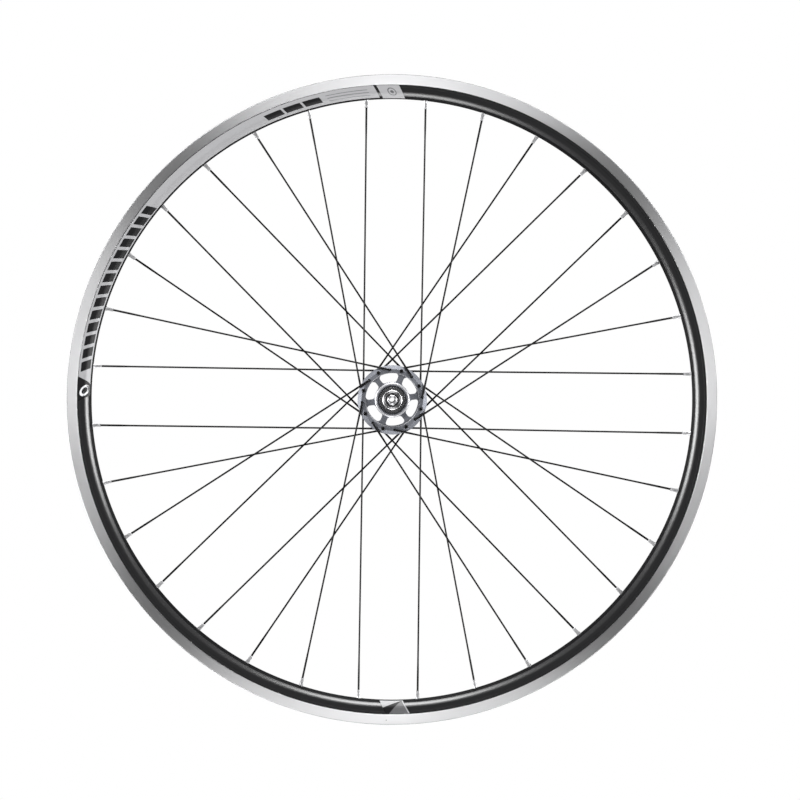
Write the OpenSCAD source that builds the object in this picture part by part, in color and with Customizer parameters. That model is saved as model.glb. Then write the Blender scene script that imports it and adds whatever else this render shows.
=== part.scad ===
// Bicycle front wheel, bare: a double-wall rim-brake clincher rim, butted J-bend
// spokes laced three-cross, and a large-flange hub that turns on two sealed
// bearings round a hollow quick-release axle.
//
// Frame: origin at the wheel's centre, axle along Y, +Z up. The right side is -Y.
// Inside wheel_frame() the wheel lies flat: the axle is local +Z, towards the
// right side, and angles run anticlockwise as seen from the right.

/* [Rim] */
// Radius to the top of the brake walls
rim_r = 317; // [316.5:0.5:317.5]
// Radius of the shelf that the tyre's beads sit on
bead_r = 311; // [310.8:0.1:311.2]
// Outside width over the brake tracks
rim_w = 22; // [21.5:0.5:23]
// Inside width between the hooked tops of the brake walls
inner_w = 17; // [16:0.5:17.5]
// Radial height of the machined brake tracks
track_h = 10; // [8.5:0.1:10]
// Depth of the whole rim section
rim_depth = 23.6; // [21:0.2:25]
// Thickness of the walls round the hollow
wall = 1.0; // [0.9:0.1:1.4]
// Thickness of the bed that the nipples pull on
spoke_bed = 1.7; // [1.6:0.1:2.0]
// Diameter of the valve hole
valve_d = 6.5; // [6.3:0.1:8.5]

/* [Spokes] */
// Number of spokes, half to each flange
spoke_count = 32; // [28:4:36]
// How many spokes of its own flange each spoke crosses
crosses = 3; // [3]
// Spoke diameter at the elbow and the thread
spoke_d = 2.0; // [1.8:0.1:2.0]
// Spoke diameter of the drawn middle
spoke_mid_d = 1.7; // [1.5:0.1:1.8]
// Length of nipple that shows below the rim
nipple_out = 7.5; // [6:0.5:9]

/* [Hub] */
// Distance between the faces that the fork's ends clamp
old_w = 100; // [99:0.5:101]
// Diameter of the axle ends that drop into the fork
stub_d = 9; // [8.8:0.1:9]
// Length of each axle end beyond its clamped face
stub_l = 4; // [3:0.5:5]
// Bore for the quick-release skewer
skewer_d = 5.2; // [5.1:0.1:5.5]
// Distance from the wheel's centre plane to the middle of a flange
flange_z = 35; // [33.5:0.5:35]
// Diameter of the circle of spoke holes
hole_circle_d = 58.6; // [58:0.2:59]
// Outside diameter of a flange
flange_d = 67.2; // [67:0.2:68]
// Thickness of a flange at its spoke holes
flange_t = 3; // [2.8:0.1:3.2]
// Number of arms in each flange
arm_count = 6; // [5:1:7]
// Width of an arm at its narrowest
arm_w = 5.2; // [4.5:0.1:6]
// Angle of the first arm
arm_angle = 8.4; // [0:0.1:20]

/* [Bearings] */
// Bore of a bearing
bearing_id = 15; // [15]
// Outside diameter of a bearing
bearing_od = 28; // [28]
// Width of a bearing
bearing_w = 7; // [7]
// Ball diameter
ball_d = 3.97; // [3.9:0.01:4]
// Balls in a bearing
ball_count = 12; // [10:1:12]

/* [Decals] */
// Angles at which the long side panel starts and ends
panel_span = [94.1, 181]; // [94.1:0.1:186]
// Film thickness
film_t = 0.12; // [0.1:0.01:0.2]

/* [Hidden] */
$fn = 96;

eps = 0.01;
gap = 0.02;             // between parts that are fixed to each other
tape_bite = 0.02;       // by which the stretched rim tape presses into its bed
run_gap = 0.05;         // between parts that turn past each other

// rim section
track_r = rim_r - track_h;
nose_r = rim_r - rim_depth;
crown_r = rim_w / 2 - 0.2;
crown_c = nose_r + crown_r;
shoulder_r = crown_c - 3.2;
side_w = rim_w / 2 - 0.15;
side_slope = 0.11;
hook_w = inner_w / 2;
bead_w = rim_w / 2 - 1.7;
shelf_w = 6.3;
well_r = bead_r - 3.2;
well_w = 4.8;
seat_r = nose_r + spoke_bed - 0.15;

// lacing
hole_r = hole_circle_d / 2;
lean = crosses * 720 / spoke_count;
pitch = 360 / spoke_count;
spoke_run = sqrt(pow(hole_r, 2) + pow(seat_r, 2) - 2 * hole_r * seat_r * cos(lean));
cross_at = hole_r * sin(lean - pitch)
    / (hole_r * sin(lean - pitch) + seat_r * sin(pitch));
elbow_r = 1.8;
lace_r = 15;
bend_extra = 0.04;      // bends are this much thicker, so that the straight runs end inside them
head_h = 1;

// hub
flange_in = flange_z - flange_t / 2;
flange_out = flange_z + flange_t / 2;
flange_r = flange_d / 2;
ring_in_r = 25.9;
window_in_r = 17;
window_round = 3;
bevel_r = hole_r + 0.5;
bevel_drop = 1.55;
arm_out = flange_out - 1.1;
shell_end = 40.6;
shell_r = 16.4;
waist_r = 12.5;
shell_bore = 10.5;
bearing_in = 33;
bearing_out = bearing_in + bearing_w;
race_in_r = 9.2;
race_out_r = 12.3;
ball_z = bearing_in + bearing_w / 2;
ball_circle_r = (bearing_id + bearing_od) / 4;
groove_r = ball_d / 2 + 0.035;
axle_bore = 5.5;
axle_shoulder = 8.6;
axle_end = bearing_out + 4;
cap_r = 9.5;
cap_face = old_w / 2;

// decals
decal_slant = 2.7;      // degrees by which the outer end of a film's edge leads its inner end

// ---------- functions ----------

// Points of an arc in 2D
function arc(cx, cy, r, a0, a1, n) =
    [for (i = [0:n]) let (a = a0 + (a1 - a0) * i / n) [cx + r * cos(a), cy + r * sin(a)]];

// A half outline whose first point is on the centre line, closed with its mirror image
function both_halves(half) =
    concat(half, [for (i = [len(half) - 1:-1:1]) [half[i][0], -half[i][1]]]);

// The outline of a turned part from the half above its middle, as [radius, height]
function turned(half) =
    concat(half, [for (i = [len(half) - 1:-1:0]) [half[i][0], -half[i][1]]]);

function reversed(list) = [for (i = [len(list) - 1:-1:0]) list[i]];

function polar(r, a) = [r * cos(a), r * sin(a)];

function rim_angle(k) = (k + 0.5) * pitch;

// Spokes 2 and 3 of every four trail and pass over the outside of their flange
function trails(k) = k % 4 > 1;

function hub_angle(k) = rim_angle(k) + (trails(k) ? -lean : lean);

// Half width of the rim's side, which leans in a little from the brake track to the nose
function side_at(r) = side_w - side_slope * (track_r - r);

// Side face of the rim below the brake track, lifted off it by d, from angle tip on its nose
function side_skin(d, tip) =
    concat(arc(crown_c, 0, crown_r + d, tip, 108, 10),
           [for (r = [shoulder_r + 0.6:0.6:track_r - 0.9]) [r, side_at(r) + d]]);

// ---------- helpers ----------

module wheel_frame() {
    rotate([90, 0, 0]) children();
}

// Puts what is drawn for the right side on the right or the left
module on_side(right) {
    wheel_frame() mirror([0, 0, right ? 0 : 1]) children();
}

module ring(r_in, r_out, z0, z1) {
    rotate_extrude() translate([r_in, z0]) square([r_out - r_in, z1 - z0]);
}

// ---------- axle ----------

module axle() {
    color("#8d9094") wheel_frame() rotate_extrude() polygon(turned([
        [axle_shoulder, bearing_in], [bearing_id / 2, bearing_in],
        [bearing_id / 2, axle_end - 0.4], [bearing_id / 2 - 0.4, axle_end],
        [axle_bore, axle_end]
    ]));
}

module end_cap() {
    lip_r = stub_d / 2 + 0.6;
    groove_w = 7;
    rotate_extrude() polygon([
        [skewer_d / 2, bearing_in + 3], [axle_bore - gap, bearing_in + 3],
        [axle_bore - gap, axle_end + gap], [bearing_id / 2 + gap, axle_end + gap],
        [bearing_id / 2 + gap, bearing_out], [cap_r - 0.8, bearing_out],
        [cap_r - 0.8, bearing_out + 1], [cap_r, bearing_out + 1.6],
        [cap_r, cap_face - 0.5], [cap_r - 0.5, cap_face],
        [groove_w, cap_face], [groove_w, cap_face - 2],
        [lip_r, cap_face - 2], [lip_r, cap_face],
        [stub_d / 2, cap_face], [stub_d / 2, cap_face + stub_l - 0.4],
        [stub_d / 2 - 0.4, cap_face + stub_l], [skewer_d / 2 + 0.7, cap_face + stub_l],
        [skewer_d / 2, cap_face + stub_l - 0.7]
    ]);
}

module end_cap_right() {
    color("#d4d6d8") on_side(true) end_cap();
}

module end_cap_left() {
    color("#d4d6d8") on_side(false) end_cap();
}

// ---------- bearings ----------

module race_blank(r0, r1, c0, c1) {
    polygon([
        [r0 + c0, bearing_in], [r1 - c1, bearing_in], [r1, bearing_in + c1],
        [r1, bearing_out - c1], [r1 - c1, bearing_out],
        [r0 + c0, bearing_out], [r0, bearing_out - c0], [r0, bearing_in + c0]
    ]);
}

module inner_race() {
    rotate_extrude() difference() {
        race_blank(bearing_id / 2 + gap / 2, race_in_r, 0.3, 0.15);
        translate([ball_circle_r, ball_z]) circle(groove_r);
    }
}

module outer_race() {
    rotate_extrude() difference() {
        race_blank(race_out_r, bearing_od / 2 - gap / 2, 0.15, 0.3);
        translate([ball_circle_r, ball_z]) circle(groove_r);
    }
}

module seal(z) {
    lip_in = race_in_r + run_gap;
    edge = race_out_r - gap;
    translate([0, 0, z]) rotate_extrude() polygon([
        [lip_in, -0.25], [lip_in + 0.5, -0.25], [lip_in + 0.7, -0.1],
        [edge - 0.8, -0.1], [edge - 0.6, -0.25], [edge, -0.25],
        [edge, 0.25], [edge - 0.6, 0.25], [edge - 0.8, 0.1],
        [lip_in + 0.7, 0.1], [lip_in + 0.5, 0.25], [lip_in, 0.25]
    ]);
}

module balls() {
    for (i = [0:ball_count - 1])
        rotate([0, 0, (i + 0.5) * 360 / ball_count])
            translate([ball_circle_r, 0, ball_z])
                sphere(d = ball_d);
}

module cage() {
    difference() {
        ring(ball_circle_r - 0.7, ball_circle_r + 0.7, ball_z - 2.4, ball_z + 2.4);
        for (i = [0:ball_count - 1])
            rotate([0, 0, (i + 0.5) * 360 / ball_count])
                translate([ball_circle_r - 2, 0, ball_z])
                    rotate([0, 90, 0]) cylinder(d = ball_d + 0.08, h = 4);
    }
}

module bearing_inner_race_right() {
    color("#b9bcc0") on_side(true) inner_race();
}

module bearing_inner_race_left() {
    color("#b9bcc0") on_side(false) inner_race();
}

module bearing_outer_race_right() {
    color("#6b6d70") on_side(true) outer_race();
}

module bearing_outer_race_left() {
    color("#6b6d70") on_side(false) outer_race();
}

module bearing_seal_outer_right() {
    color("#1c1c1e") on_side(true) seal(bearing_out - 0.5);
}

module bearing_seal_inner_right() {
    color("#1c1c1e") on_side(true) seal(bearing_in + 0.5);
}

module bearing_seal_outer_left() {
    color("#1c1c1e") on_side(false) seal(bearing_out - 0.5);
}

module bearing_seal_inner_left() {
    color("#1c1c1e") on_side(false) seal(bearing_in + 0.5);
}

module bearing_balls_right() {
    color("#e2e4e6") on_side(true) balls();
}

module bearing_balls_left() {
    color("#e2e4e6") on_side(false) balls();
}

module ball_cage_right() {
    color("#c8b46a") on_side(true) cage();
}

module ball_cage_left() {
    color("#c8b46a") on_side(false) cage();
}

// ---------- hub shell ----------

// Window between two arms, drawn about the +X axis
module window() {
    half = 180 / arm_count;
    out_c = ring_in_r - window_round;
    in_c = window_in_r + window_round;
    side = arm_w / 2 + window_round;
    out_a = half - asin(side / out_c);
    in_a = half - asin(side / in_c);
    out_p = polar(out_c, out_a);
    in_p = polar(in_c, in_a);
    upper = concat(
        arc(0, 0, window_in_r, 0, in_a, 6),
        arc(in_p[0], in_p[1], window_round, in_a - 180, half - 270, 6),
        arc(out_p[0], out_p[1], window_round, half - 270, out_a - 360, 6),
        arc(0, 0, ring_in_r, out_a, 0, 6)
    );
    polygon(concat(upper, [for (i = [len(upper) - 2:-1:1]) [upper[i][0], -upper[i][1]]]));
}

module flange() {
    difference() {
        rotate_extrude() polygon([
            [window_in_r - 2, flange_in], [flange_r - 0.3, flange_in],
            [flange_r, flange_in + 0.3], [flange_r, flange_out - bevel_drop],
            [bevel_r, flange_out], [ring_in_r + 0.5, flange_out],
            [ring_in_r - 0.1, arm_out], [window_in_r - 2, arm_out]
        ]);
        for (i = [0:arm_count - 1])
            rotate([0, 0, arm_angle + (i + 0.5) * 360 / arm_count])
                translate([0, 0, flange_in - 1])
                    linear_extrude(flange_t + 2) window();
    }
}

module spoke_hole() {
    translate([0, 0, flange_in - 1]) cylinder(d = spoke_d + 0.6, h = flange_t + 2);
    translate([0, 0, flange_in - eps]) cylinder(d1 = spoke_d + 1.4, d2 = spoke_d + 0.6, h = 0.4);
    translate([0, 0, flange_out - 0.4]) cylinder(d1 = spoke_d + 0.6, d2 = spoke_d + 1.6, h = 0.5);
}

module barrel() {
    rotate_extrude() polygon(turned([
        [waist_r, 22], [window_in_r, flange_in],
        [window_in_r, arm_out], [shell_r, arm_out + 0.6],
        [shell_r, shell_end - 0.5], [shell_r - 0.5, shell_end],
        [bearing_od / 2 + 0.4, shell_end], [bearing_od / 2, shell_end - 0.4],
        [bearing_od / 2, bearing_in], [race_out_r, bearing_in],
        [race_out_r, bearing_in - 1.5], [shell_bore, bearing_in - 4]
    ]));
}

module hub_shell() {
    color("#7d7f88") difference() {
        union() {
            wheel_frame() barrel();
            on_side(true) flange();
            on_side(false) flange();
        }
        for (k = [0:spoke_count - 1])
            on_side(k % 2 == 0) rotate([0, 0, hub_angle(k)]) translate([hole_r, 0, 0]) spoke_hole();
    }
}

// ---------- rim ----------

// A rounded nose of radius r, its tip at radius `tip`, in front of straight sides
module nose_limit(tip, r) {
    translate([tip + r, 0]) circle(r);
    translate([tip + r - 0.6, -rim_w]) square([rim_r - tip - r + 1, 2 * rim_w]);
}

module rim_outline() {
    w = rim_w / 2;
    intersection() {
        nose_limit(nose_r, crown_r);
        polygon(both_halves([
            [nose_r - 1, 0], [nose_r - 1, side_at(nose_r - 1)], [track_r, side_w], [track_r, w],
            [rim_r - 0.7, w], [rim_r, w - 0.7], [rim_r, hook_w + 0.6], [rim_r - 0.6, hook_w],
            [rim_r - 1.8, hook_w], [rim_r - 2.8, bead_w], [bead_r + 0.6, bead_w],
            [bead_r, bead_w - 0.6], [bead_r, shelf_w], [well_r, well_w]
        ]));
    }
}

module rim_hollow() {
    intersection() {
        nose_limit(nose_r + spoke_bed, crown_r - wall);
        polygon(both_halves([
            [nose_r - 1, 0], [nose_r - 1, side_at(nose_r - 1) - wall],
            [track_r, side_w - wall], [bead_r - wall - 0.8, side_w - wall],
            [bead_r - wall, side_w - wall - 0.8], [bead_r - wall, shelf_w + 0.8],
            [well_r - wall, well_w + 0.4]
        ]));
    }
}

// Clearance for one nipple: its hole in the spoke bed, square to the spoke, with a flat seat
module nipple_drill(k) {
    at_rim_end(k) {
        translate([0, 0, -6]) cylinder(d = 4.6, h = 9);
        cylinder(d = 6.6, h = 4);
    }
}

module access_drill(k) {
    wheel_frame() rotate([0, 0, rim_angle(k)]) translate([shoulder_r + 2, 0, 0])
        rotate([0, 90, 0]) cylinder(d = 8, h = bead_r - shoulder_r);
}

module rim() {
    color("#33353a") difference() {
        wheel_frame() rotate_extrude() difference() {
            rim_outline();
            rim_hollow();
        }
        for (k = [0:spoke_count - 1]) {
            nipple_drill(k);
            access_drill(k);
        }
        translate([0, 0, nose_r - 2]) cylinder(d = valve_d, h = rim_depth);
        for (s = [-1, 1])
            wear_dimple(s);
    }
}

// Small drilled spot in the brake track that shows when the wall is worn out
module wear_dimple(s) {
    translate([s * 1.5, s * (rim_w / 2 + 0.5), -(rim_r - 4.3)])
        rotate([s * 90, 0, 0]) cylinder(d = 1.1, h = 0.9);
}

module rim_tape() {
    edge = bead_w - 0.8;
    low = well_r - tape_bite;
    high = bead_r - tape_bite;
    t = 0.25;
    color("#c9b98a") difference() {
        wheel_frame() rotate_extrude() polygon(concat(
            [[low, -well_w], [low, well_w], [high, shelf_w], [high, edge],
             [high + t, edge], [high + t, shelf_w - 0.15], [low + t, well_w - 0.15]],
            [[low + t, 0.15 - well_w], [high + t, 0.15 - shelf_w],
             [high + t, -edge], [high, -edge], [high, -shelf_w]]
        ));
        translate([0, 0, well_r - 2]) cylinder(d = valve_d + 0.6, h = 8);
    }
}

// ---------- spokes and nipples ----------

// A spoke lies in its own XZ plane: X runs from its flange hole towards the rim and
// Z is the way it passes through the flange. bend_z is where its elbow starts and
// lace_z its height where it crosses its partner.
function elbow_turn(bend_z, lace_z) =
    let (x = cross_at * spoke_run - elbow_r, z = bend_z - lace_z)
    90 + atan2(z, x) + asin(elbow_r / norm([x, z]));

function rim_turn(lace_z) = 90 + atan2(lace_z, (1 - cross_at) * spoke_run);

// Heights for a spoke outside its flange, and, turned over, for one inside it
outer_bend = flange_out + spoke_d / 2 + 0.1 - elbow_r;
inner_bend = -(flange_in - spoke_d / 2 - 0.1 + elbow_r);
lace_step = spoke_mid_d / 2 + bend_extra + gap;
outer_lace = flange_z * (1 - cross_at) - lace_step;
inner_lace = -(flange_z * (1 - cross_at) + lace_step);

module spoke(bend_z, lace_z, head_z) {
    r = spoke_d / 2;
    mid_r = spoke_mid_d / 2;
    turn1 = elbow_turn(bend_z, lace_z);
    turn2 = rim_turn(lace_z);
    x = cross_at * spoke_run - elbow_r;
    trim = lace_r * tan((turn1 - turn2) / 2);
    run1 = sqrt(pow(x, 2) + pow(bend_z - lace_z, 2) - pow(elbow_r, 2)) - trim;
    run2 = norm([(1 - cross_at) * spoke_run, lace_z]) - trim;
    // head and shank
    translate([0, 0, head_z]) rotate_extrude() polygon([
        [0, -head_h], [1.0, -head_h], [1.7, -0.6 * head_h], [1.85, -0.2 * head_h],
        [1.6, 0], [r, 0], [r, bend_z - head_z + 0.25], [0, bend_z - head_z + 0.25]
    ]);
    translate([0, 0, bend_z]) bend(turn1, elbow_r, r);
    // from the elbow to the bend where it is laced over its partner
    translate([elbow_r * (1 - cos(turn1)), 0, bend_z + elbow_r * sin(turn1)])
        rotate([0, turn1, 0]) {
            rotate_extrude() polygon([
                [0, -0.25], [r, -0.25], [r, 12], [mid_r, 24], [mid_r, run1 + 0.15], [0, run1 + 0.15]
            ]);
            translate([0, 0, run1]) mirror([1, 0, 0]) bend(turn1 - turn2, lace_r, mid_r);
        }
    // on to the nipple
    translate([spoke_run, 0, 0]) rotate([0, turn2, 0]) rotate_extrude() polygon([
        [0, -run2 - 0.15], [mid_r, -run2 - 0.15], [mid_r, -38], [r, -28], [r, 1], [0, 1]
    ]);
}

// A round bend in the XZ plane that leaves the origin along +Z and turns towards +X
module bend(turn, bend_r, r) {
    translate([bend_r, 0, 0]) rotate([90, 0, 0])
        rotate_extrude(angle = turn, start = 180 - turn)
            translate([bend_r, 0]) circle(r + bend_extra);
}

// Moves a spoke's own plane to spoke k's place in the wheel
module at_spoke(k) {
    hub_p = polar(hole_r, hub_angle(k));
    rim_p = polar(seat_r, rim_angle(k));
    run = rim_p - hub_p;
    on_side(k % 2 == 0) translate([hub_p[0], hub_p[1], 0])
        rotate([0, 0, atan2(run[1], run[0])])
            mirror([0, 0, trails(k) ? 0 : 1]) children();
}

// The nipple's seat in the rim, +Z pointing out along the spoke
module at_rim_end(k) {
    at_spoke(k) translate([spoke_run, 0, 0])
        rotate([0, rim_turn(trails(k) ? outer_lace : inner_lace), 0]) children();
}

module spoke_set(first) {
    for (k = [first:4:spoke_count - 1])
        at_spoke(k)
            if (trails(k))
                spoke(outer_bend, outer_lace, flange_in - gap);
            else
                spoke(inner_bend, inner_lace, -flange_out - gap);
}

module nipple() {
    body_l = nipple_out + spoke_bed;
    flats = 3.25;
    difference() {
        union() {
            rotate_extrude() polygon([
                [0, -3.4], [1.98, -3.4], [1.98, 0], [3, 0.8], [3, 1.5], [2.4, 2.3], [1.4, 2.6], [0, 2.6]
            ]);
            intersection() {
                translate([-flats / 2, -flats / 2, -body_l]) cube([flats, flats, body_l - 3.4 + eps]);
                translate([0, 0, -body_l]) rotate_extrude() polygon([
                    [0, 0], [1.5, 0], [1.98, 0.5], [1.98, body_l], [0, body_l]
                ]);
            }
        }
        translate([0, 0, -body_l - 1]) cylinder(r = spoke_d / 2 + run_gap, h = body_l + 5);
        translate([-3.5, -0.5, 1.7]) cube([7, 1, 2]);
    }
}

module spokes_right_outer() {
    color("#1a1a1c") spoke_set(2);
}

module spokes_right_inner() {
    color("#1a1a1c") spoke_set(0);
}

module spokes_left_outer() {
    color("#1a1a1c") spoke_set(3);
}

module spokes_left_inner() {
    color("#1a1a1c") spoke_set(1);
}

module nipples_right() {
    color("#d8dadc") for (k = [0:2:spoke_count - 1]) at_rim_end(k) nipple();
}

module nipples_left() {
    color("#d8dadc") for (k = [1:2:spoke_count - 1]) at_rim_end(k) nipple();
}

// ---------- decals ----------

// Film on the side of the rim between two angles, with ends slanted by `slant` degrees
module side_film(a0, a1, slant, tip) {
    pad = abs(slant) + 0.5;
    intersection() {
        rotate_extrude(angle = a1 - a0 + 2 * pad, start = a0 - pad)
            polygon(concat(side_skin(0.03, tip), reversed(side_skin(0.03 + film_t, tip))));
        film_window(a0, a1, slant);
    }
}

module film_window(a0, a1, slant) {
    steps = ceil((a1 - a0) / 10);
    r_in = nose_r - 2;
    r_out = (rim_r + 2) / cos((a1 - a0) / steps / 2);
    linear_extrude(rim_w) polygon(concat(
        [for (i = [0:steps]) polar(r_in, a0 - slant / 2 + (a1 - a0) * i / steps)],
        [for (i = [steps:-1:0]) polar(r_out, a0 + slant / 2 + (a1 - a0) * i / steps)]
    ));
}

module panel() {
    side_film(panel_span[0], panel_span[1], decal_slant, 152);
}

module badge() {
    side_film(89.4, panel_span[0] - 0.55, decal_slant, 158);
}

module joint_mark() {
    side_film(-90.5, -86.1, decal_slant, 158);
}

// The left side's decals are the right side's, turned half round about the upright axis
module half_turned() {
    rotate([0, 0, 180]) children();
}

module decal_panel_right() {
    color("#c4c6c9") wheel_frame() panel();
}

module decal_panel_left() {
    color("#c4c6c9") half_turned() wheel_frame() panel();
}

module decal_badge_right() {
    color("#b4b6b9") wheel_frame() badge();
}

module decal_badge_left() {
    color("#b4b6b9") half_turned() wheel_frame() badge();
}

module decal_joint_right() {
    color("#a4a6a9") wheel_frame() joint_mark();
}

module decal_joint_left() {
    color("#a4a6a9") half_turned() wheel_frame() joint_mark();
}

axle();
end_cap_right();
end_cap_left();
bearing_inner_race_right();
bearing_inner_race_left();
bearing_balls_right();
ball_cage_right();
bearing_balls_left();
ball_cage_left();
bearing_outer_race_right();
bearing_outer_race_left();
bearing_seal_outer_right();
bearing_seal_inner_right();
bearing_seal_outer_left();
bearing_seal_inner_left();
hub_shell();
rim();
rim_tape();
spokes_right_outer();
spokes_right_inner();
spokes_left_outer();
spokes_left_inner();
nipples_right();
nipples_left();
decal_panel_right();
decal_panel_left();
decal_badge_right();
decal_badge_left();
decal_joint_right();
decal_joint_left();
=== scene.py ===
"""Bicycle front wheel: meshes, finishes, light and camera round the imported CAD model.

Sizes are in millimetres and angles in degrees, unless a name says otherwise. A place on
the wheel is (radius, angle, side): the angle runs anticlockwise from +X as seen from the
wheel's right side, and side is the distance from the centre plane towards the right, -Y.
"""

import math

import bpy
import numpy as np
from mathutils import Matrix, Vector


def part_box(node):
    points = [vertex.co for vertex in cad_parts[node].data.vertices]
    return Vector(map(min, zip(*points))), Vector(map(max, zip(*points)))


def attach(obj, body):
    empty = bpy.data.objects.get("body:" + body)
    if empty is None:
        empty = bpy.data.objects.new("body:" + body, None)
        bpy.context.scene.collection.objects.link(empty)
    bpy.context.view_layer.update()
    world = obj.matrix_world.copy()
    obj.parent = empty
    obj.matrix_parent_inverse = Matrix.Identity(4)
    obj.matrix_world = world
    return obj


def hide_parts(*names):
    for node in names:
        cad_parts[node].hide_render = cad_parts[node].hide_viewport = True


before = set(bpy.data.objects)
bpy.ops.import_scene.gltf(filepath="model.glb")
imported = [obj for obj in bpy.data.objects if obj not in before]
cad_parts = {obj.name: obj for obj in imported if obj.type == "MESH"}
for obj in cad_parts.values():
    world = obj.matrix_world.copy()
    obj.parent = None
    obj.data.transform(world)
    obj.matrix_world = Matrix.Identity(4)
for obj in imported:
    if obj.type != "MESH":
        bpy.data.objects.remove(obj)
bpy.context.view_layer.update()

MM = 0.001


# ---------- dimensions ----------

def cad_top(node, axis):
    """The highest coordinate of a CAD node along an axis, in millimetres."""
    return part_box(node)[1][axis] / MM


# The rim: _r is a radius and _w a distance from the centre plane.
rim_depth = 23.6
track_height = 10
rim_r = cad_top("rim", 2)
half_w = cad_top("rim", 1)
bead_r = 311
track_r = rim_r - track_height
nose_r = rim_r - rim_depth
crown_r = half_w - 0.2
crown_c = nose_r + crown_r
side_w = half_w - 0.15
side_slope = 0.11
edge_break = 0.3      # chamfer of the track's outer edge
face_margin = 0.75    # depth below the outermost face that still counts as track
flat_margin = 0.8     # from a flat's edge to the point that holds it flat
nose_shade_band = 2.5       # how far out the nose's painted shade reaches
hook_w = 8.5
bead_w = 9.3
shelf_w = 6.3
well_r = bead_r - 3.2
well_w = 4.8
wall = 1.0
spoke_bed = 1.7
seat_r = nose_r + spoke_bed - 0.15
valve_r = 3.25
pit_inset = 4.3       # from the rim's edge to the wear pit

# Spokes, and the flanges that they hook into. Each leans by three crossings.
crossings = 3
spoke_count = 32
pitch = 360 / spoke_count
lean = crossings * 2 * pitch
spoke_r = 1.0
spoke_mid_r = 0.85
hole_r = 29.3
flange_z = 35
flange_in = flange_z - 1.5
flange_out = flange_z + 1.5
elbow_r = 1.8
lace_r = 15           # bend where a spoke passes the last crossing
clear = 0.1           # between a spoke and the flange's face

# End caps, from the bore for the skewer outwards.
skewer_r = 2.6
stub_r = 4.5
lip_r = 5.1
groove_r = 7
cap_r = cad_top("end_cap_right", 2)
cap_face = 50
stub_end = cap_face + 4
groove_depth = 2
cap_back = 40
cap_seat_r = 7.52
cap_seat_end = 44.02
cap_bore_r = 5.48
cap_bore_end = 36

# Decals: film and ink heights above the rim's skin, and how far their ends slant, in degrees.
film_low = 0.03
film_high = 0.15
film_slant = 2.7
ink = 0.02

# Material slots of the rim, the decals and the end caps.
ANODISED, TRACK, NOSE_SHADE, CUT, LIP = range(5)
SILVER, BLACK, GREY, PALE = range(4)
BRIGHT, RECESS_SHADE, DULL = range(3)


# ---------- points and outlines ----------

def polar(r, deg):
    a = np.radians(deg)
    return np.stack([r * np.cos(a), r * np.sin(a)], -1)


def round_angles(count):
    """Equal steps of one turn, in radians."""
    return np.radians(np.arange(count) * 360 / count)


def arc(centre, r, start, end, steps):
    return [tuple(centre + p) for p in polar(r, np.linspace(start, end, steps + 1))]


def rounded_corner(last, corner, following, radius, steps=3):
    """Points round a corner, or the corner itself where it hardly turns."""
    p = np.array(corner, float)
    before, after = np.array(last) - p, np.array(following) - p
    la, lb = np.linalg.norm(before), np.linalg.norm(after)
    before, after = before / la, after / lb
    half = math.acos(np.clip(before @ after, -1, 1)) / 2
    if half > math.radians(82):
        return [tuple(p)]
    cut = min(radius / math.tan(half), 0.45 * la, 0.45 * lb)
    a, b = p + before * cut, p + after * cut
    return [tuple((1 - t) ** 2 * a + 2 * t * (1 - t) * p + t ** 2 * b)
            for t in np.linspace(0, 1, steps + 1)]


def rounded(points, radius):
    """The closed outline with its corners rounded, less where a side is too short for it."""
    out = []
    for i, p in enumerate(points):
        out += rounded_corner(points[i - 1], p, points[(i + 1) % len(points)], radius)
    return out


def mirrored(half):
    """A closed outline from its half with side >= 0, run through and back on the other side."""
    return half + [(r, -w) for r, w in reversed(half) if w > 1e-6]


def side_at(r):
    """Half width of the rim's side between its nose and the brake track."""
    return side_w - side_slope * (track_r - r)


def meets_side(tip, r, inset):
    """Angle on a nose of radius r, its tip at radius `tip`, where it meets the rim's side."""
    for deg in np.arange(175, 90, -0.05):
        p = np.array([tip + r, 0]) + polar(r, deg)
        if p[1] >= side_at(p[0]) - inset:
            return deg
    return 90


def rim_outline():
    """Section of the rim. Points beside the corners keep the track and side flat in shading."""
    nose = arc((crown_c, 0), crown_r, 180, meets_side(nose_r, crown_r, 0), 26)
    wall_side = rounded([
        (crown_c, side_at(crown_c)), (track_r - flat_margin, side_at(track_r - flat_margin)),
        (track_r, side_w), (track_r, half_w), (track_r + flat_margin, half_w),
        (rim_r - 4 * edge_break, half_w), (rim_r - edge_break, half_w),
        (rim_r, half_w - edge_break), (rim_r, hook_w + 0.6),
        (rim_r - 0.6, hook_w), (rim_r - 1.8, hook_w), (rim_r - 2.8, bead_w),
        (bead_r + 0.6, bead_w), (bead_r, bead_w - 0.6), (bead_r, shelf_w),
        (well_r, well_w), (well_r, 0)], 0.25)
    corner = [p for p in wall_side if p[1] > 1e-6]
    return mirrored(nose + corner)


def rim_hollow():
    tip = nose_r + spoke_bed
    r = crown_r - wall
    nose = arc((tip + r, 0), r, 180, meets_side(tip, r, wall), 14)
    return mirrored(nose + [
        (track_r, side_w - wall), (bead_r - wall - 0.8, side_w - wall),
        (bead_r - wall, side_w - wall - 0.8), (bead_r - wall, shelf_w + 0.8),
        (well_r - wall, well_w + 0.4)])


# ---------- meshes ----------

def to_world(points):
    """From the flat wheel's frame, with its axle along Z, to the row frame."""
    p = np.asarray(points, float)
    return np.stack([p[:, 0], -p[:, 2], p[:, 1]], -1)


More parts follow.
